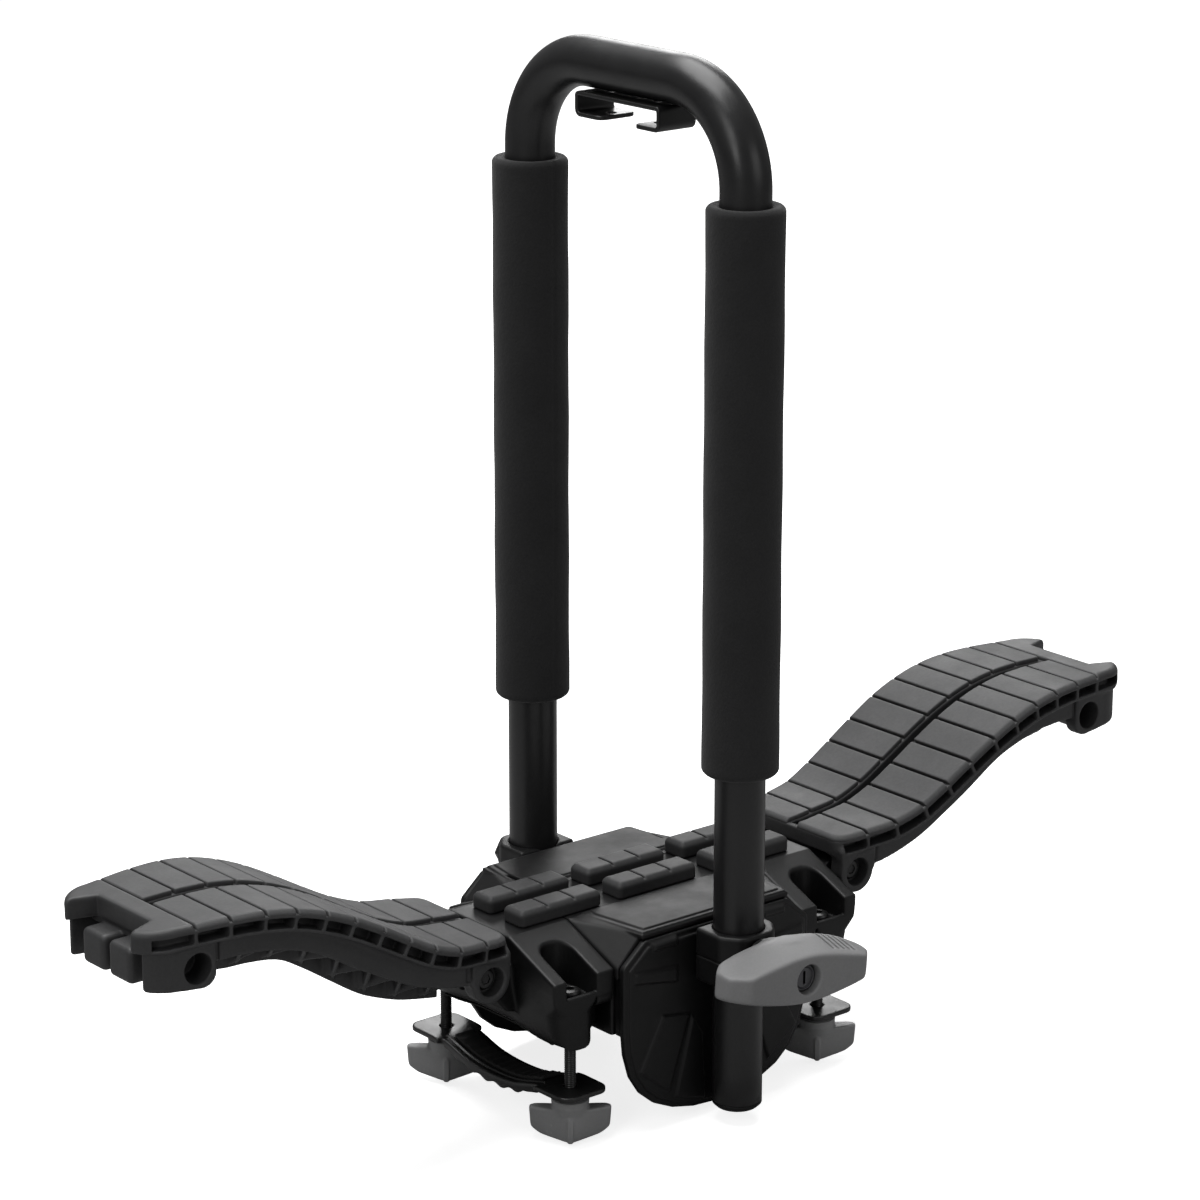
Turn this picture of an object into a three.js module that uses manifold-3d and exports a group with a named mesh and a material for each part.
// Folding kayak and board carrier for one roof crossbar.
// Millimetres, +Z up. X runs along the crossbar (wing to wing), Y along the vehicle.
// Origin: centre of the crossbar contact plane, under the middle of the carrier.
import * as THREE from 'three';
import { mergeVertices, mergeGeometries } from 'three/addons/utils/BufferGeometryUtils.js';
import { ConvexGeometry } from 'three/addons/geometries/ConvexGeometry.js';
import Module from 'manifold-3d';

const wasm = await Module();
wasm.setup();

// ---------------------------------------------------------------- driving dimensions
const SEAT = 38.2;            // mast pivot axis above the crossbar contact plane
const GAP = 0.3;              // working gap between neighbouring solids

const TUBE_R = 12.7;          // 25.4 mm mast tube
const TUBE_WALL = 1.6;
const LEG_Y = 82;             // mast legs at y = +-82
const LOOP_TOP = 432.7;       // centreline of the loop's straight top, above the pivot axis
const BEND_R = 48;            // centreline bend radius
const LEG_BOTTOM = -80;       // lower end of the bare tube
const FOAM_R = 19.3;
const FOAM_LOW = 94.2;
const FOAM_HIGH = 378.3;

const BOLT_X = 83.2;          // clamp bolt pattern
const BOLT_Y = 50.6;
const BOLT_R = 3;             // M6
const PIVOT_R = 4;            // M8 pivot bolt

const SADDLE_IN = 62.6;       // saddle casting, inner and outer faces
const SADDLE_OUT = 101;
const SADDLE_FRONT = 60.4;
const DECK_LOW = 14.4;        // pad floor
const DECK_HIGH = 16.2;       // raised front and rear panels
const PLATE_BACK = 58;        // pivot plates
const PLATE_FACE = 68;

const WING_PIN_X = 122.3;
const WING_HALF = 38.4;       // straight side walls
const OUTER_BORE = [294.3, 50.6];
const BORE_R = 7.5;
const DECK_T = 11;            // wing deck thickness, treads included
const TREAD_T = 3;
const STRAP_TOP = -61;        // clamp strap end plates, top face

// wing upper surface: height over x (right wing)
const TOP = [[109, 21.0], [118, 21.6], [126.5, 22.7], [144.3, 25.0], [161.5, 31.3], [177.5, 40.0], [193.2, 49.1],
  [210.5, 58.4], [226.6, 65.3], [243.5, 70.4], [260.5, 73.1], [279, 74.0], [297, 73.8], [312, 73.6], [326, 73.2]];
// wing plan outline: half width over x
const PLAN = [[109, 30], [110, 33.2], [112, 36], [115.5, 38], [120, 39.4], [126.5, 40.9], [144.3, 43.7], [161.5, 46.5],
  [177.5, 47.6], [193.2, 48.2], [210.5, 48.8], [226.6, 48.5], [243.5, 47.6], [260.5, 46.2], [279, 43.9], [297, 41.3],
  [306, 39.8], [311.2, 39.1], [316, 37.1], [320.1, 33.9], [323.3, 29.8], [324.8, 26.6], [326, 19.8]];
// lower edge of the side walls
const LOWER = [[112, 4], [128, 1.0], [141, 1.7], [156, 5.0], [170, 9.8], [186, 17.8], [203, 27.0], [225, 40.0],
  [241, 46.0], [256, 49.5], [268, 50.8], [286, 51.2]];
// lower edge of the two deep webs along the middle
const SPINE = [[137.5, -11.8], [150, -9.5], [161, -7.1], [173, -3.0], [185, 2.3], [203, 14], [218, 24], [232, 31.8], [248, 34.6], [265, 35.6], [284, 38.5]];
// cross grooves between the tread slats
const GROOVES = [126.5, 144.3, 161.5, 177.5, 193.2, 210.5, 226.6, 243.5, 260.5, 279, 297];

// ---------------------------------------------------------------- helpers
const lerp = (tab, x) => {
  if (x <= tab[0][0]) return tab[0][1];
  for (let i = 1; i < tab.length; i++) {
    if (x <= tab[i][0]) {
      const [a, b] = [tab[i - 1], tab[i]];
      return a[1] + (b[1] - a[1]) * (x - a[0]) / (b[0] - a[0]);
    }
  }
  return tab[tab.length - 1][1];
};
// smooth height through the table points
const smooth = (tab, x) => {
  const n = tab.length;
  let i = 1;
  while (i < n - 1 && x > tab[i][0]) i++;
  const s = (k) => {
    if (k <= 0) return (tab[1][1] - tab[0][1]) / (tab[1][0] - tab[0][0]);
    if (k >= n - 1) return (tab[n - 1][1] - tab[n - 2][1]) / (tab[n - 1][0] - tab[n - 2][0]);
    return (tab[k + 1][1] - tab[k - 1][1]) / (tab[k + 1][0] - tab[k - 1][0]);
  };
  const [x0, y0] = tab[i - 1], [x1, y1] = tab[i], h = x1 - x0, t = (x - x0) / h;
  const a = s(i - 1) * h, b = s(i) * h;
  return (2 * t ** 3 - 3 * t ** 2 + 1) * y0 + (t ** 3 - 2 * t ** 2 + t) * a + (3 * t ** 2 - 2 * t ** 3) * y1 + (t ** 3 - t ** 2) * b;
};

const bare = (g) => {
  const q = g.clone();
  q.deleteAttribute('normal');
  q.deleteAttribute('uv');
  return mergeVertices(q, 1e-4);
};
const solid = (g) => {
  const q = bare(g);
  return new wasm.Manifold(new wasm.Mesh({
    numProp: 3,
    vertProperties: new Float32Array(q.attributes.position.array),
    triVerts: new Uint32Array(q.index.array),
  }));
};
const back = (m) => {
  const r = m.getMesh();
  const g = new THREE.BufferGeometry();
  const n = r.numProp, p = new Float32Array(r.vertProperties.length / n * 3);
  for (let i = 0; i < p.length / 3; i++) for (let k = 0; k < 3; k++) p[3 * i + k] = r.vertProperties[n * i + k];
  g.setAttribute('position', new THREE.BufferAttribute(p, 3));
  g.setIndex(Array.from(r.triVerts));
  return g;
};
const join = (...gs) => back(gs.map((g) => (g.isBufferGeometry ? solid(g) : g)).reduce((a, b) => a.add(b)));
const cut = (g, ...tools) => back(tools.reduce((a, t) => a.subtract(solid(t)), solid(g)));
const common = (a, b) => back(solid(a).intersect(solid(b)));

const shapeOf = (pts, holes = []) => {
  const s = new THREE.Shape(pts.map(([a, b]) => new THREE.Vector2(a, b)));
  for (const h of holes) s.holes.push(new THREE.Path(h.map(([a, b]) => new THREE.Vector2(a, b))));
  return s;
};
const ring = (cx, cy, r, n = 20, a0 = 0) =>
  Array.from({ length: n }, (_, i) => [cx + r * Math.cos(a0 + 2 * Math.PI * i / n), cy + r * Math.sin(a0 + 2 * Math.PI * i / n)]);
const prismXY = (pts, z0, z1, holes) => {
  const g = new THREE.ExtrudeGeometry(shapeOf(pts, holes), { depth: z1 - z0, bevelEnabled: false });
  return g.translate(0, 0, z0);
};
const prismXZ = (pts, y0, y1, holes) => {   // points are [x, z]
  const g = new THREE.ExtrudeGeometry(shapeOf(pts, holes), { depth: y1 - y0, bevelEnabled: false });
  return g.rotateX(Math.PI / 2).translate(0, y1, 0);
};
const prismYZ = (pts, x0, x1, holes) => {   // points are [y, z]
  const g = new THREE.ExtrudeGeometry(shapeOf(pts, holes), { depth: x1 - x0, bevelEnabled: false });
  const m = new THREE.Matrix4().makeBasis(new THREE.Vector3(0, 1, 0), new THREE.Vector3(0, 0, 1), new THREE.Vector3(1, 0, 0));
  return g.applyMatrix4(m).translate(x0, 0, 0);
};
const box = (x0, x1, y0, y1, z0, z1) =>
  new THREE.BoxGeometry(x1 - x0, y1 - y0, z1 - z0).translate((x0 + x1) / 2, (y0 + y1) / 2, (z0 + z1) / 2);
const rodY = (x, z, r, y0, y1, n = 20) => prismXZ(ring(x, z, r, n, Math.PI / n), y0, y1);
const rodZ = (x, y, r, z0, z1, n = 20) => prismXY(ring(x, y, r, n, Math.PI / n), z0, z1);
const flipped = (g) => {      // swap the winding after a reflection
  const q = g.index ? g : bare(g);
  const ix = Array.from(q.index.array);
  for (let i = 0; i < ix.length; i += 3) [ix[i + 1], ix[i + 2]] = [ix[i + 2], ix[i + 1]];
  q.setIndex(ix);
  return q;
};
const signedVolume = (g) => {
  const p = g.attributes.position, ix = g.index, a = new THREE.Vector3(), b = new THREE.Vector3(), c = new THREE.Vector3();
  let v = 0;
  for (let i = 0; i < ix.count; i += 3) {
    a.fromBufferAttribute(p, ix.getX(i)); b.fromBufferAttribute(p, ix.getX(i + 1)); c.fromBufferAttribute(p, ix.getX(i + 2));
    v += a.dot(b.cross(c)) / 6;
  }
  return v;
};
const outward = (g) => {      // closed mesh with its faces pointing out
  const q = bare(g);
  return signedVolume(q) < 0 ? flipped(q) : q;
};
const latheY = (profile, n = 24) => outward(new THREE.LatheGeometry(profile.map(([r, h]) => new THREE.Vector2(r, h)), n));
const latheZ = (profile, n) => latheY(profile, n).rotateX(Math.PI / 2);
const hull = (pts) => outward(new ConvexGeometry(pts.map((p) => new THREE.Vector3(...p))));
// fillet the corners of a closed polygon
const filleted = (pts, radii, seg = 3) => {
  const out = [];
  const n = pts.length;
  for (let i = 0; i < n; i++) {
    const r = Array.isArray(radii) ? radii[i] : radii;
    const p = new THREE.Vector2(...pts[i]);
    if (!r) { out.push([p.x, p.y]); continue; }
    const a = new THREE.Vector2(...pts[(i + n - 1) % n]).sub(p), b = new THREE.Vector2(...pts[(i + 1) % n]).sub(p);
    const la = a.length(), lb = b.length();
    a.normalize(); b.normalize();
    const half = Math.acos(THREE.MathUtils.clamp(a.dot(b), -1, 1)) / 2;
    const d = Math.min(r / Math.tan(half), la * 0.49, lb * 0.49);
    const rr = d * Math.tan(half);
    const c = p.clone().add(a.clone().add(b).normalize().multiplyScalar(rr / Math.sin(half)));
    const s = p.clone().addScaledVector(a, d).sub(c), e = p.clone().addScaledVector(b, d).sub(c);
    let a0 = Math.atan2(s.y, s.x), a1 = Math.atan2(e.y, e.x);
    if (a1 - a0 > Math.PI) a1 -= 2 * Math.PI;
    if (a1 - a0 < -Math.PI) a1 += 2 * Math.PI;
    for (let k = 0; k <= seg; k++) out.push([c.x + rr * Math.cos(a0 + (a1 - a0) * k / seg), c.y + rr * Math.sin(a0 + (a1 - a0) * k / seg)]);
  }
  return out;
};
const rect = (x0, x1, y0, y1) => [[x0, y0], [x1, y0], [x1, y1], [x0, y1]];
const mirrorX = (g) => flipped(bare(g).scale(-1, 1, 1));
const mirrorY = (g) => flipped(bare(g).scale(1, -1, 1));

// ---------------------------------------------------------------- materials
const mats = {};
const mat = (name, color, roughness, metalness) => () => new THREE.MeshStandardMaterial({ name, color, roughness, metalness });
mats.tube = mat('tube_paint', 0x141414, 0.35, 0.3);
mats.foam = mat('foam', 0x2b2b2b, 0.95, 0);
mats.base = mat('base_plastic', 0x1b1b1b, 0.5, 0);
mats.deck = mat('deck_plastic', 0x2a2a2a, 0.45, 0);
mats.wing = mat('wing_plastic', 0x303030, 0.55, 0);
mats.tread = mat('tread_rubber', 0x3c3c3c, 0.75, 0);
mats.pad = mat('pad_rubber', 0x383838, 0.75, 0);
mats.knob = mat('knob_plastic', 0x757575, 0.5, 0);
mats.steel = mat('black_steel', 0x101010, 0.4, 0.6);
mats.zinc = mat('zinc_steel', 0x9a9a9a, 0.35, 0.9);
mats.brass = mat('brass', 0xb08d48, 0.3, 0.9);
mats.liner = mat('liner_rubber', 0x161616, 0.85, 0);

const root = new THREE.Group();
const frame = new THREE.Group();      // local z = 0 is the mast pivot axis
frame.position.z = SEAT;
root.add(frame);
const put = (name, geometry, m) => {
  const mesh = new THREE.Mesh(geometry, m());
  mesh.name = name;
  frame.add(mesh);
  return mesh;
};

// ---------------------------------------------------------------- base: housing, deck, saddles
{
  // lower housing between the saddles, chamfered down at its four corners, open underneath;
  // its centre foot meets the crossbar at the origin
  const x = SADDLE_IN - GAP, y = PLATE_BACK - GAP, lo = -SEAT, hi = 11.4;
  const pts = [];
  for (const sx of [-1, 1]) for (const sy of [-1, 1]) {
    pts.push([sx * x, sy * y, lo], [sx * x, sy * y, -3], [sx * x, sy * 27, hi], [sx * 47.5, sy * y, hi - 0.5], [sx * 52, sy * 30, hi]);
  }
  const shell = cut(hull(pts),
    box(-58, -3.5, -53, -8, -60, 6), box(3.5, 58, -53, -8, -60, 6),
    box(-58, -3.5, 8, 53, -60, 6), box(3.5, 58, 8, 53, -60, 6),
    box(-58, -26, -5, 5, -60, 6), box(26, 58, -5, 5, -60, 6),
    rodY(0, 0, PIVOT_R + 0.45, -80, 80));
  put('base_housing', shell, mats.base);

  // deck cover: pad floor with raised front and rear panels
  const outline = [[-48.5, -65], [48.5, -65], [54.5, -28], [62.2, -24], [62.2, 24], [54.5, 28], [50, 62], [-50, 62], [-54.5, 28], [-62.2, 24], [-62.2, -24], [-54.5, -28]];
  const floor = prismXY(outline, 11.8, DECK_LOW);
  const front = hull([[-47.5, -64.2, DECK_LOW - 0.2], [47.5, -64.2, DECK_LOW - 0.2], [53, -27, DECK_LOW - 0.2], [-53, -27, DECK_LOW - 0.2],
    [-53, -22, DECK_LOW - 0.2], [53, -22, DECK_LOW - 0.2], [-46.5, -63, DECK_HIGH], [46.5, -63, DECK_HIGH], [52, -27, DECK_HIGH], [-52, -27, DECK_HIGH], [-52, -22.6, DECK_HIGH], [52, -22.6, DECK_HIGH]]);
  const rear = hull([[-49, 61.2, DECK_LOW - 0.2], [49, 61.2, DECK_LOW - 0.2], [53, 27, DECK_LOW - 0.2], [-53, 27, DECK_LOW - 0.2],
    [-53, 22, DECK_LOW - 0.2], [53, 22, DECK_LOW - 0.2], [-48, 60, DECK_HIGH], [48, 60, DECK_HIGH], [52, 27, DECK_HIGH], [-52, 27, DECK_HIGH], [-52, 22.6, DECK_HIGH], [52, 22.6, DECK_HIGH]]);
  put('deck_cover', join(floor, front, rear), mats.deck);
}

// saddle casting: sloping front and rear faces with bolt pockets, arched crossbar seat, wing lugs
const ARCH = [[-60.4, -38.6], [-49, -39.6], [-32, -38.6], [-15, -36.7], [15, -36.7], [32, -38.6], [49, -39.6], [60.4, -38.6]];
const saddle = () => {
  const side = [...ARCH, [SADDLE_FRONT, -1], [24, DECK_LOW], [-24, DECK_LOW], [-SADDLE_FRONT, -1]];
  let body = prismYZ(side, SADDLE_IN, SADDLE_OUT);
  // the outer flank draws in below the rim, and the corners below the lip follow the bolt bosses
  const keep = prismXZ([[SADDLE_IN - 1, -50], [93.6, -50], [93.6, -22], [SADDLE_OUT, -8], [SADDLE_OUT, 30], [SADDLE_IN - 1, 30]], -70, 70);
  body = common(body, keep);
  const corner = (sy) => {
    const g = prismXY(filleted([[SADDLE_IN - 2, 47], [SADDLE_IN - 2, 62], [SADDLE_OUT + 2, 62], [SADDLE_OUT + 2, 47]], 0), -50, -13);
    const bossKeep = join(rodZ(BOLT_X, BOLT_Y, 10.2, -51, -12, 28), box(SADDLE_IN - 3, SADDLE_OUT + 3, 40, BOLT_Y, -51, -12));
    const waste = cut(g, bossKeep);
    return sy > 0 ? waste : mirrorY(waste);
  };
  body = cut(body, corner(1), corner(-1));
  // pockets open towards the end, with a flat floor for the bolt head
  for (const sy of [-1, 1]) {
    const plan = filleted([[BOLT_X - 9.5, 34], [BOLT_X + 9.5, 34], [BOLT_X + 9.5, 64], [BOLT_X - 9.5, 64]], [8, 8, 0, 0], 4);
    let p = join(prismXY(plan, -10.5, 20), prismXY(plan.map(([a, b]) => [a, Math.min(b, 57.8)]).filter((q, i, l) => i === 0 || q[0] !== l[i - 1][0] || q[1] !== l[i - 1][1]), -13.5, 0));
    if (sy < 0) p = mirrorY(p);
    body = cut(body, p, rodZ(BOLT_X, sy * BOLT_Y, BOLT_R + 0.4, -60, 20));
  }
  // cored underside
  body = cut(body, box(66.5, 90, -38, -3, -60, 4), box(66.5, 90, 3, 38, -60, 4));
  body = join(body, prismYZ([[-38.5, -36.9], [-38.5, -34.4], [38.5, -34.4], [38.5, -36.9], [32, -38.3], [15, -36.7], [-15, -36.7], [-32, -38.3]], 66, 91));
  // two lugs that carry the wing pin
  const lug = (y0, y1) => prismXZ([[92, -3], [92, -27], [104, -24], [118, -8.2], [123, -8.4], [128, -6], [130.6, -1.5], [130.3, 3], [127, 7], [122.3, 8.5], [117, 7.2], [110, 3.5]], y0, y1);
  body = join(body, lug(10, 27), lug(-27, -10));
  return cut(body, rodY(WING_PIN_X, 0, 4.4, -40, 40));
};
const saddleR = saddle();
put('saddle_right', saddleR, mats.base);
put('saddle_left', mirrorX(saddleR), mats.base);

const liner = prismYZ([[-44, -39.4 - 1.2], [-32, -38.6 - 1.5], [-15, -SEAT], [15, -SEAT], [32, -38.6 - 1.5], [44, -39.4 - 1.2],
  [44, -39.4 - 0.2], [32, -38.9], [15, -37.0], [-15, -37.0], [-32, -38.9], [-44, -39.4 - 0.2]], 67.5, 89.5);
put('seat_liner_right', liner, mats.liner);
put('seat_liner_left', mirrorX(liner), mats.liner);

// six ribbed deck pads, three across and two deep
{
  const pad = (cx, cy) => {
    const L = 26, W = 7.9, z0 = DECK_LOW + GAP, z1 = 21.2, z2 = 23;
    const pts = [];
    for (const sx of [-1, 1]) for (const sy of [-1, 1]) {
      pts.push([cx + sx * L, cy + sy * (W - 2), z0], [cx + sx * (L - 2), cy + sy * W, z0],
        [cx + sx * L, cy + sy * (W - 2), z1], [cx + sx * (L - 2), cy + sy * W, z1],
        [cx + sx * (L - 2.2), cy + sy * (W - 2.2), z2]);
    }
    return cut(hull(pts), box(cx - 9.2, cx - 7.8, cy - 9, cy + 9, 21.6, 25), box(cx + 7.8, cx + 9.2, cy - 9, cy + 9, 21.6, 25));
  };
  for (const [nx, cx] of [['left', -63.5], ['middle', 0], ['right', 63.5]]) for (const [ny, cy] of [['front', -12.6], ['rear', 12.6]])
    put(`deck_pad_${ny}_${nx}`, pad(cx, cy), mats.pad);
}

// ---------------------------------------------------------------- pivot plates
{
  const D = [[-61.5, -0.6], [-61.5, -34]];
  const arc = [[-60.3, -47], [-56.5, -60], [-50, -70], [-41, -77.5], [-29, -83], [-15, -86.2], [0, -87.2]];
  const low = [...arc, ...arc.slice(0, -1).reverse().map(([a, b]) => [-a, b])];
  const outline = [...D, ...low, [61.5, -34], [61.5, -0.6], [47.5, 11.3], [-47.5, 11.3]];
  const plate = () => {
    let g = join(prismXZ(outline, -PLATE_FACE + 1.6, -62.5), common(prismXZ(outline, -63, -PLATE_BACK), box(-70, 70, -70, -50, -38.2, 20)));
    const inner = outline.map(([a, b]) => [a * 0.955, (b + 34) * 0.955 - 34]);
    g = join(g, prismXZ(inner, -PLATE_FACE, -PLATE_FACE + 2));
    // detent ridges that stand 1 mm proud of the face
    const ridge = (len, w, ang, r0) => {
      const q = hull([[r0, -PLATE_FACE - 1, -w / 4], [r0 + len, -PLATE_FACE - 1, -w / 4], [r0, -PLATE_FACE - 1, w / 4], [r0 + len, -PLATE_FACE - 1, w / 4],
        [r0 - 1, -PLATE_FACE + 1, -w / 2], [r0 + len + 1, -PLATE_FACE + 1, -w / 2], [r0 - 1, -PLATE_FACE + 1, w / 2], [r0 + len + 1, -PLATE_FACE + 1, w / 2]]);
      return q;
    };
    for (const s of [-1, 1]) {
      for (const z of [-12.2, 7.2]) {
        const q = ridge(22, 4.4, 0, 30).translate(0, 0, z);
        g = join(g, s > 0 ? q : mirrorX(q));
      }
      for (const a of [-38, -58, -76]) {
        const q = ridge(34, 4.4, 0, 36).applyMatrix4(new THREE.Matrix4().makeRotationY(-a * Math.PI / 180));
        g = join(g, s > 0 ? q : mirrorX(q));
      }
    }
    return cut(g, rodY(0, 0, PIVOT_R + 0.45, -90, -40));
  };
  const p = plate();
  put('pivot_plate_front', p, mats.base);
  put('pivot_plate_rear', mirrorY(p), mats.base);
}

// pivot bolt through plates and legs, with rear head and washer
{
  const hex = ring(0, 0, 7.4, 6, 0);
  put('pivot_bolt', join(rodY(0, 0, PIVOT_R, -119, 101.5), prismXZ(hex, 101.2, 106.5)), mats.steel);
  put('pivot_washer_rear', prismXZ(ring(0, 0, 9.5, 14), 99.2, 100.9, [ring(0, 0, PIVOT_R + 0.4, 14)]), mats.steel);
}

// clamp bolts: button head in the pocket, shank down to the hand knob
for (const [nx, sx] of [['left', -1], ['right', 1]]) for (const [ny, sy] of [['front', -1], ['rear', 1]]) {
  const g = latheZ([[0, -91], [BOLT_R, -91], [BOLT_R, -13.2], [5.6, -13.2], [5.6, -10.4], [4.2, -9.0], [0, -9.0]], 10);
  put(`clamp_bolt_${ny}_${nx}`, g.translate(sx * BOLT_X, sy * BOLT_Y, 0), mats.steel);
}

// ---------------------------------------------------------------- mast
{
  const c = [];
  const line = new THREE.CurvePath();
  const V = (y, z) => new THREE.Vector3(0, y, z);
  const zb = LOOP_TOP - BEND_R, yb = LEG_Y - BEND_R;
  line.add(new THREE.LineCurve3(V(-LEG_Y, LEG_BOTTOM), V(-LEG_Y, zb)));
  const pts = [];
  const N = 7;
  pts.push(V(-LEG_Y, LEG_BOTTOM), V(-LEG_Y, zb));
  for (let i = 1; i < N; i++) pts.push(V(-yb - BEND_R * Math.cos(Math.PI / 2 * i / N), zb + BEND_R * Math.sin(Math.PI / 2 * i / N)));
  pts.push(V(-yb, LOOP_TOP), V(yb, LOOP_TOP));
  for (let i = 1; i < N; i++) pts.push(V(yb + BEND_R * Math.sin(Math.PI / 2 * i / N), zb + BEND_R * Math.cos(Math.PI / 2 * i / N)));
  pts.push(V(LEG_Y, zb), V(LEG_Y, LEG_BOTTOM));
  // mitred sweep of a circle along the planar centreline
  const sweep = (r, n, ext) => {
    const P = pts.map((p) => p.clone());
    P[0].z -= ext; P[P.length - 1].z -= ext;
    const pos = [], idx = [];
    const m = P.length;
    for (let i = 0; i < m; i++) {
      const t0 = i > 0 ? P[i].clone().sub(P[i - 1]).normalize() : null, t1 = i < m - 1 ? P[i + 1].clone().sub(P[i]).normalize() : null;
      const t = t0 && t1 ? t0.clone().add(t1).normalize() : (t0 || t1);
      const side = new THREE.Vector3(0, -t.z, t.y);       // in-plane normal
      const k = t0 && t1 ? 1 / Math.sqrt((1 + t0.dot(t1)) / 2) : 1;
      for (let j = 0; j < n; j++) {
        const a = 2 * Math.PI * j / n;
        pos.push(r * Math.sin(a), P[i].y + side.y * k * r * Math.cos(a), P[i].z + side.z * k * r * Math.cos(a));
      }
    }
    for (let i = 0; i < m - 1; i++) for (let j = 0; j < n; j++) {
      const a = i * n + j, b = i * n + (j + 1) % n, c2 = a + n, d = b + n;
      idx.push(a, b, c2, b, d, c2);
    }
    const s = pos.length / 3;
    pos.push(0, P[0].y, P[0].z, 0, P[m - 1].y, P[m - 1].z);
    for (let j = 0; j < n; j++) {
      idx.push(s, (j + 1) % n, j);
      idx.push(s + 1, (m - 1) * n + j, (m - 1) * n + (j + 1) % n);
    }
    const g = new THREE.BufferGeometry();
    g.setAttribute('position', new THREE.BufferAttribute(new Float32Array(pos), 3));
    g.setIndex(idx);
    return g;
  };
  const outer = outward(sweep(TUBE_R, 18, 0)), inner = outward(sweep(TUBE_R - TUBE_WALL, 12, 5));
  put('mast_tube', cut(outer, inner, rodY(0, 0, PIVOT_R + 0.45, -110, 110)), mats.tube);

  for (const [n, s] of [['front', -1], ['rear', 1]]) {
    const foam = prismXY(ring(0, s * LEG_Y, FOAM_R, 24), FOAM_LOW, FOAM_HIGH, [ring(0, s * LEG_Y, TUBE_R + GAP + 0.1, 20)]);
    put(`foam_sleeve_${n}`, foam, mats.foam);
    // pivot collar clamped round the leg
    const plan = filleted([[-18, -69.3], [18, -69.3], [18, -88], [10, -98.4], [-10, -98.4], [-18, -88]], [2, 2, 6, 6, 6, 6], 2);
    let col = cut(prismXY(plan, -15.5, 12.6), rodZ(0, -LEG_Y, TUBE_R + GAP + 0.1, -30, 30, 18), rodY(0, 0, PIVOT_R + 0.45, -110, -60));
    if (s > 0) col = mirrorY(col);
    put(`leg_collar_${n}`, col, mats.base);
    // end plug pressed into the tube
    const plug = latheZ([[0, -83.8], [10.4, -83.8], [12.7, -81.6], [12.7, -80.3], [TUBE_R - TUBE_WALL - 0.9, -80.3], [TUBE_R - TUBE_WALL - 1.2, -68], [0, -68]], 16);
    put(`leg_plug_${n}`, plug.translate(0, s * LEG_Y, 0), mats.base);
  }
  // strap hook: open channel under the loop's top
  const H = LOOP_TOP - TUBE_R - GAP;
  const hook = prismYZ(filleted([[-32, H - 12.7], [-12, H - 12.7], [-12, H - 10.5], [-29.8, H - 10.5], [-29.8, H - 2.2], [29.8, H - 2.2],
    [29.8, H - 10.5], [12, H - 10.5], [12, H - 12.7], [32, H - 12.7], [32, H], [-32, H]], [3, 0, 0, 0, 0, 0, 0, 0, 0, 3, 1, 1], 2), -12, 12);
  put('strap_hook', cut(hook, rodZ(0, -18, 2.4, H - 8, H + 8, 12), rodZ(0, 18, 2.4, H - 8, H + 8, 12)), mats.steel);
  for (const [n, s] of [['front', -1], ['rear', 1]])
    put(`hook_rivet_${n}`, latheZ([[0, H - 4.6], [3, H - 4.4], [4, H - 2.5], [2.1, H - 2.5], [2.1, H - 0.4], [0, H - 0.4]], 8).translate(0, s * 18, 0), mats.steel);
}

// ---------------------------------------------------------------- tee knob on the front end of the pivot bolt
{
  const f = -135, b = -112;
  const lever = [];
  // front face outline, tips drawn back
  for (const [x, y, h] of [[-46, -119, 6.4], [-46, -127, 6.6], [-36, f, 7.4], [-12, f, 13.2], [12, f, 13.2], [36, f, 7.4], [46, -127, 6.6], [46, -119, 6.4],
    [-40, -113.5, 6], [40, -113.5, 6], [-14, b, 12], [14, b, 12]]) lever.push([x, y, h], [x, y, -h]);
  const tilt = new THREE.Matrix4().makeRotationY(0.075);
  const bar = hull(lever).applyMatrix4(tilt);
  const neck = latheY([[0, -113], [16, -113], [15.4, -108], [14, -104], [12.5, -102.2], [0, -102.2]], 18);
  let body = join(bar, bare(neck));
  body = cut(body, rodY(0, 0, 7.7, -140, -122.6, 18), rodY(0, 0, 8.4, -122.9 + 3.6, -106, 6), rodY(0, 0, PIVOT_R + 0.6, -125, -95));
  for (const x of [27, 30, 33, 36, 39]) body = cut(body, box(x - 0.6, x + 0.6, -131, -116, 0, 1).translate(0, 0, 9.2 - (x - 27) * 0.24).applyMatrix4(tilt));
  put('tee_knob', body, mats.knob);
  put('knob_nut', prismXZ(ring(0, 0, 8.0, 6, Math.PI / 6), -118.8, -106.4, [ring(0, 0, PIVOT_R + 0.25, 20)]), mats.brass);
  put('lock_core', cut(bare(latheY([[0, -123.2], [7.2, -123.2], [7.2, -130.5], [6.6, -131.2], [0, -131.2]], 16)), box(-0.7, 0.7, -132, -128.2, -3.4, 3.4)), mats.zinc);
  put('knob_washer', prismXZ(ring(0, 0, 11, 16), -101.9, -99.2, [ring(0, 0, PIVOT_R + 0.4, 14)]), mats.steel);
}

// ---------------------------------------------------------------- wings
const up = (x) => {          // unit normal of the upper surface
  const d = (smooth(TOP, x + 0.5) - smooth(TOP, x - 0.5));
  const l = Math.hypot(d, 1);
  return [-d / l, 1 / l];
};
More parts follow.
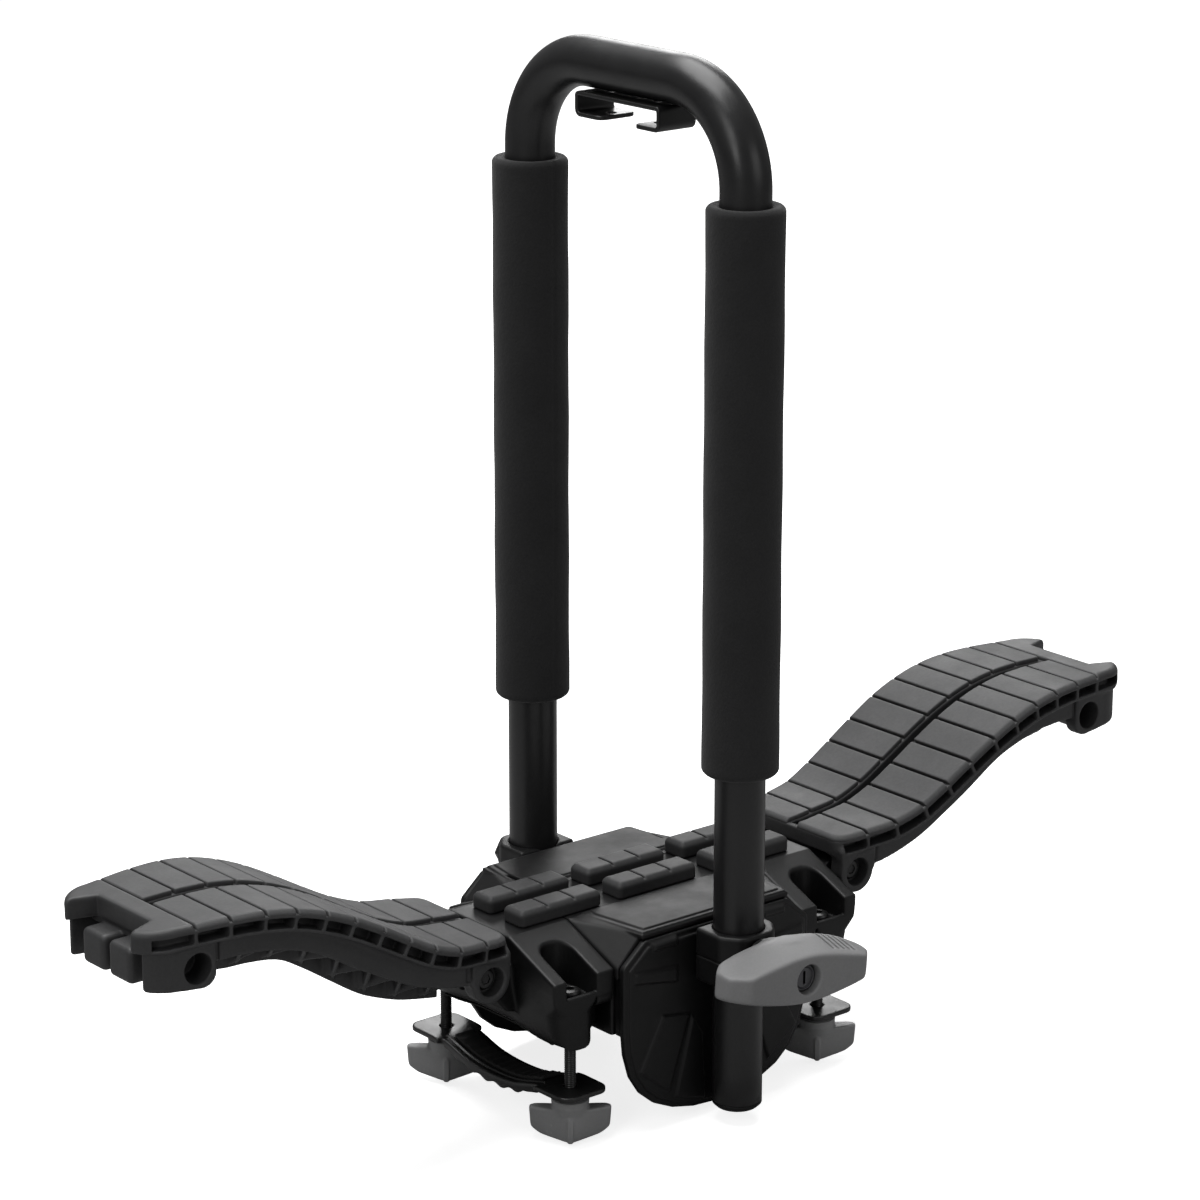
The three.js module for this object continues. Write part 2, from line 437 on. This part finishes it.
// slab following the upper surface; y0(x), y1(x) are its side edges, a and b its depths below the surface
const slab = (xs, y0, y1, a, b) => {
  const pos = [], idx = [];
  xs.forEach((x) => {
    const [nx, nz] = up(x), z = smooth(TOP, x);
    for (const [y, d] of [[y0(x), a], [y1(x), a], [y1(x), b], [y0(x), b]]) pos.push(x - nx * d, y, z - nz * d);
  });
  const n = xs.length;
  for (let i = 0; i < n - 1; i++) for (let k = 0; k < 4; k++) {
    const p = i * 4 + k, q = i * 4 + (k + 1) % 4, r = p + 4, s = q + 4;
    idx.push(p, r, q, q, r, s);
  }
  idx.push(0, 1, 2, 0, 2, 3);
  const e = (n - 1) * 4;
  idx.push(e, e + 2, e + 1, e, e + 3, e + 2);
  const g = new THREE.BufferGeometry();
  g.setAttribute('position', new THREE.BufferAttribute(new Float32Array(pos), 3));
  g.setIndex(idx);
  return outward(g);
};
const XS_ALL = [109, 110.5, 114, 119.5, 126.5, 135.4, 144.3, 152.9, 161.5, 177.5, 193.2, 210.5, 226.6, 235, 243.5, 252, 260.5, 279, 297, 308, 314, 318, 321, 323.5, 325, 326];
const half = (x) => lerp(PLAN, x);
const wing = () => {
  // frame deck under the treads, and the bare outer platform at full height
  let f = slab(XS_ALL, (x) => -half(x), (x) => half(x), TREAD_T, DECK_T);
  f = join(f, slab([297.9, 308, 314, 318, 321, 323.5, 325, 326], (x) => -half(x), (x) => half(x), 0, TREAD_T + 1));
  // straight side walls below the deck
  const mid = XS_ALL.filter((x) => x >= 112 && x <= 319).map((x) => { const [nx, nz] = up(x); return [x - nx * 6, smooth(TOP, x) - nz * 6]; });
  const low = LOWER.slice().reverse().map(([x, z]) => [x, z]);
  const wallPts = [...mid.slice().reverse(), ...LOWER.map(([x, z]) => [x, z])];
  const outerBlock = filleted([[283.8, 66], [283.8, 39.3], [324, 43.2], [324, 66]], [0, 7.5, 5, 0], 3);
  const tri = (pts, y0, y1) => prismXZ(pts, y0, y1);
  // the outer end is rounded in plan, 2 mm inside the deck's rim
  const endArc = [0, 0.35, 0.7, 1.05, 1.57].map((t) => [306 + 18 * Math.sin(t), 20.4 + 18 * Math.cos(t)]);
  const endPlan = prismXY([[280, -WING_HALF], ...endArc.map(([x, y]) => [x, -y]), ...endArc.slice().reverse(), [280, WING_HALF]], 30, 80);
  for (const s of [-1, 1]) {
    const [a, b] = s > 0 ? [WING_HALF - 3, WING_HALF] : [-WING_HALF, -WING_HALF + 3];
    f = join(f, tri(wallPts, a, b));
    // knuckles: two outer ones at each end
    const [c, d] = s > 0 ? [29.5, WING_HALF] : [-WING_HALF, -29.5];
    f = join(f, common(tri(outerBlock, c, d), endPlan));
    const boss = [...ring(WING_PIN_X, 0, 11.4, 20).filter(([, z]) => z < 0.1)];
    f = join(f, rodY(WING_PIN_X, 0, 11.4, c, d, 18), tri([[110.9, 0], [133.7, 0], [136, 14], [110.9, 12]], c, d));
  }
  // inner blocks between the outer knuckles, and the centre knuckle on the pin
  const innerBlock = filleted([[286, 66], [286, 44], [320.5, 45], [320.5, 62.2], [300, 66]], [0, 4, 3, 0, 0], 2);
  f = join(f, tri(innerBlock, 1.7, 20.5), tri(innerBlock, -20.5, -1.7));
  f = join(f, rodY(WING_PIN_X, 0, 9.2, -9.4, 9.4, 14), tri([[113.3, 0], [131.5, 0], [136, 14], [113.3, 12]], -9.4, 9.4));
  // inner end wall above the lugs
  f = join(f, tri([[109.2, 11.5], [112.2, 11.5], [112.2, 16], [109.2, 16]], -30, 30));
  // ribs on the underside: centre web and crossed diagonals
  const space = tri([...XS_ALL.filter((x) => x >= 137 && x <= 286).map((x) => { const [nx, nz] = up(x); return [x - nx * 9, smooth(TOP, x) - nz * 9]; }).reverse(),
    ...LOWER.filter(([x]) => x >= 137).map(([x, z]) => [x, z + 2.5])], -37, 37);
  let ribs = null;
  const add = (g) => { ribs = ribs ? ribs.add(solid(g)) : solid(g); };
  const xr = [137, 174, 211, 248, 286];
  for (let i = 0; i < xr.length - 1; i++) for (const s of [-1, 1]) {
    const p = new THREE.Vector2(xr[i], -37 * s), q = new THREE.Vector2(xr[i + 1], 37 * s);
    const d = q.clone().sub(p).normalize(), n = new THREE.Vector2(-d.y, d.x);
    add(prismXY([[p.x + n.x, p.y + n.y], [p.x - n.x, p.y - n.y], [q.x - n.x, q.y - n.y], [q.x + n.x, q.y + n.y]].reverse().map((v) => v), -10, 90).clone());
  }
  add(box(137, 286, -1.1, 1.1, -10, 90));
  const keepRibs = ribs.intersect(solid(space));
  f = back(solid(f).add(keepRibs));
  // two deep webs along the middle
  const webPts = [...SPINE.map(([x, z]) => [x, z]), ...XS_ALL.filter((x) => x > 138 && x < 290).reverse().map((x) => { const [nx, nz] = up(x); return [x - nx * 9, smooth(TOP, x) - nz * 9]; }), [137.5, 14]];
  f = join(f, tri(webPts, 11.5, 14), tri(webPts, -14, -11.5));
  // side windows: twelve pockets on each side, thin ribs left between them
  const cells = [111, ...GROOVES, 314.5];
  for (let i = 0; i < cells.length - 1; i++) {
    const a = cells[i] + (i ? 1.1 : 0), b = cells[i + 1] - (i < cells.length - 2 ? 1.1 : 0);
    const m = (a + b) / 2;
    const P = (x, d) => { const [nx, nz] = up(x); return [x - nx * d, smooth(TOP, x) - nz * d]; };
    const q = [P(a, 9), P(b, 9), P(b, 4.4), P(a, 4.4)];
    f = cut(f, prismXZ(q, 12, 60), prismXZ(q, -60, -12));
  }
  // notch in the outer end
  f = cut(f, prismXY([[310, -22], [330, -28.5], [330, 28.5], [310, 22]], 62.4, 90));
  // pin bores and the empty outer bores
  f = cut(f, rodY(WING_PIN_X, 0, BORE_R, -60, -30.5, 16), rodY(WING_PIN_X, 0, BORE_R, 30.5, 60, 16), rodY(WING_PIN_X, 0, 4.4, -60, 60, 12),
    rodY(OUTER_BORE[0], OUTER_BORE[1], BORE_R, -60, 60, 16));
  // clearance for the saddle's lugs
  for (const s of [-1, 1]) f = cut(f, box(100, 137, s > 0 ? 9.6 : -27.4, s > 0 ? 27.4 : -9.6, -20, 10.3));
  return f;
};
const tread = (sy) => {
  const xs = [109, 110.5, 114, 119.5, 126.5, 135.4, 144.3, 152.9, 161.5, 169.5, 177.5, 193.2, 210.5, 218.5, 226.6, 235, 243.5, 252, 260.5, 279, 296.1];
  const inner = (x) => 4, outer = (x) => half(x) - 0.4;
  let g = sy > 0 ? slab(xs.map((x) => (x === 109 ? 109.4 : x)), inner, outer, 0, TREAD_T - GAP) : slab(xs.map((x) => (x === 109 ? 109.4 : x)), (x) => -outer(x), (x) => -inner(x), 0, TREAD_T - GAP);
  for (const x of GROOVES.slice(0, -1)) {
    const [nx, nz] = up(x), z = smooth(TOP, x);
    const P = (dx, d) => [x + dx * nz - nx * d, z - dx * nx - nz * d];
    g = cut(g, prismXZ([P(-0.8, 1.4), P(0.8, 1.4), P(0.8, -3), P(-0.8, -3)], -60, 60));
  }
  return g;
};
const wingR = wing(), treadFront = tread(-1), treadRear = tread(1);
put('wing_frame_right', wingR, mats.wing);
put('wing_tread_right_front', treadFront, mats.tread);
put('wing_tread_right_rear', treadRear, mats.tread);
put('wing_frame_left', mirrorX(wingR), mats.wing);
put('wing_tread_left_front', mirrorX(treadFront), mats.tread);
put('wing_tread_left_rear', mirrorX(treadRear), mats.tread);
// pins through the lugs, button headed screws in the counterbores
for (const [n, s] of [['left', -1], ['right', 1]]) {
  const g = latheY([[0, -35.4], [4.6, -35.4], [6.0, -33.8], [6.0, -31], [4, -31], [4, 33.4], [0, 33.4]], 12);
  put(`wing_pin_${n}`, bare(g).translate(s * WING_PIN_X, 0, 0), mats.steel);
}

// ---------------------------------------------------------------- crossbar clamps
{
  const yz = [[-65, STRAP_TOP], [-43, STRAP_TOP], [-36, STRAP_TOP - 1.2], [-20, STRAP_TOP - 5.6], [-7, STRAP_TOP - 6.8], [7, STRAP_TOP - 6.8], [20, STRAP_TOP - 5.6], [36, STRAP_TOP - 1.2], [43, STRAP_TOP], [65, STRAP_TOP]];
  const under = (d) => yz.slice().reverse().map(([y, z]) => [y, z - d]);
  const strapBody = common(prismYZ([...yz, ...under(2.5)].reverse(), 68.6, 97.8), prismXY(filleted(rect(68.6, 97.8, -65, 65), 7, 3), -90, -40));
  const waist = (s) => prismXY(filleted([[s > 0 ? 94.6 : 60, -39], [s > 0 ? 110 : 71.8, -39], [s > 0 ? 110 : 71.8, 39], [s > 0 ? 94.6 : 60, 39]], 0), -90, -40);
  let strap = cut(strapBody, waist(1), waist(-1), rodZ(BOLT_X, BOLT_Y, BOLT_R + 0.5, -80, -40), rodZ(BOLT_X, -BOLT_Y, BOLT_R + 0.5, -80, -40));
  // turned down edges along the waist
  const flange = (x) => prismYZ([[-38, STRAP_TOP - 1.6], [-20, STRAP_TOP - 6.2], [-7, STRAP_TOP - 7.4], [7, STRAP_TOP - 7.4], [20, STRAP_TOP - 6.2], [38, STRAP_TOP - 1.6],
    [38, STRAP_TOP - 5.0], [20, STRAP_TOP - 10.4], [7, STRAP_TOP - 11.8], [-7, STRAP_TOP - 11.8], [-20, STRAP_TOP - 10.4], [-38, STRAP_TOP - 5.0]].reverse(), x, x + 2.2);
  strap = join(strap, flange(71.8), flange(92.4));
  put('clamp_strap_right', strap, mats.steel);
  put('clamp_strap_left', mirrorX(strap), mats.steel);
  // rubber grip along the middle of the strap, with toothed edges
  const t = yz.filter(([y]) => Math.abs(y) <= 36);
  let grip = prismYZ([...t.map(([y, z]) => [y, z + 2.6]), ...t.slice().reverse().map(([y, z]) => [y, z + GAP])].reverse(), 73.4, 93);
  for (const y of [-28, -14, 0, 14, 28]) grip = cut(grip, box(70, 75.2, y - 2, y + 2, -80, -50), box(91.2, 97, y - 2, y + 2, -80, -50));
  put('strap_grip_right', grip, mats.liner);
  put('strap_grip_left', mirrorX(grip), mats.liner);

  // hand knobs: two swept wings on a round hub
  const lobe = (s) => hull([[-s * 2.2, -9.1, -74.6], [-s * 2.2, -10.1, -89.7], [s * 3, 4, -74.6], [s * 3, 4, -89.7],
    [s * 20.6, 2.5, -74.2], [s * 20.6, 5.5, -74.2], [s * 19.6, 2.5, -85], [s * 19.6, 5.5, -85], [s * 15, 6.5, -87.4], [s * 15, 0.5, -87.4], [s * 18, 0.4, -73.4], [s * 18, 7.2, -73.4]]);
  const hub = latheZ([[0, -67.4 + 3.6], [6.8, -67.4 + 3.6], [6.8, -67], [9.6, -67.6], [9.6, -73], [8.6, -88], [0, -88]], 14);
  let knob = join(bare(hub), lobe(1), lobe(-1));
  knob = cut(knob, rodZ(0, 0, BOLT_R + 0.45, -120, -50, 12));
  for (const [nx, sx] of [['left', -1], ['right', 1]]) for (const [ny, sy] of [['front', -1], ['rear', 1]]) {
    const g = knob.clone().rotateZ(-0.68).translate(sx * BOLT_X, sy * BOLT_Y, 0);
    put(`clamp_knob_${ny}_${nx}`, g, mats.knob);
  }
}

export default root;
